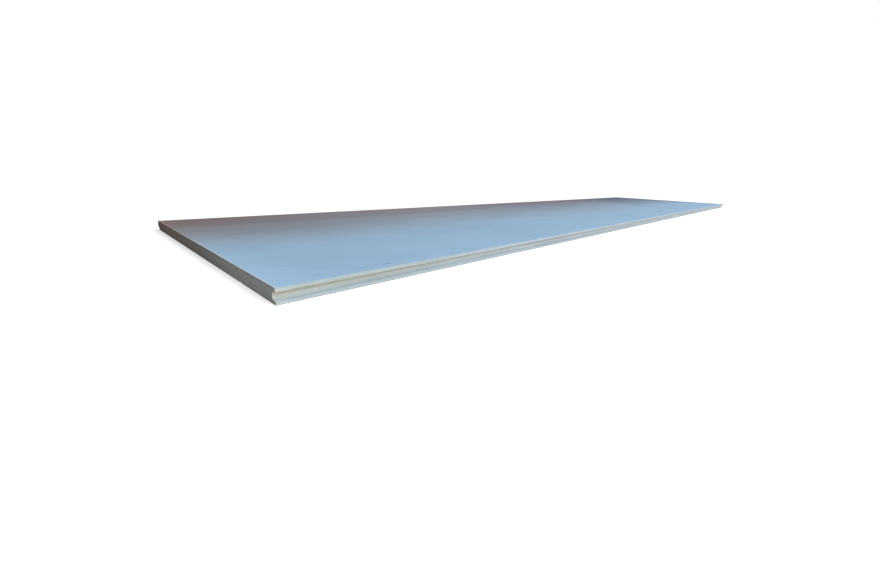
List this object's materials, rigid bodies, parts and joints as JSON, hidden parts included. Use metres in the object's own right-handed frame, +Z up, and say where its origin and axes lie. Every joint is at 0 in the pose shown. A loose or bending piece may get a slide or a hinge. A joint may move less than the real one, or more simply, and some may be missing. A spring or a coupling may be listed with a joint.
{
  "type": "fibre cement floor board",
  "caption": "Long flat fibre cement floor board with a tapered groove along one long edge, a matching tongue along the other and square sawn ends.",
  "frame": {"origin": "on the underside, midway along the board and midway between the grooved edge face and the face that the tongue stands on", "axes": "+X along the board's length, +Y the way the tongue points, so the groove opens towards -Y, +Z up out of the walking surface"},
  "size_m": [3, 0.6065, 0.02],
  "materials": {
    "fibre_cement": "matte"
  },
  "bodies": {
    "root": {"floor_board": "fibre_cement"}
  },
  "joints": []
}
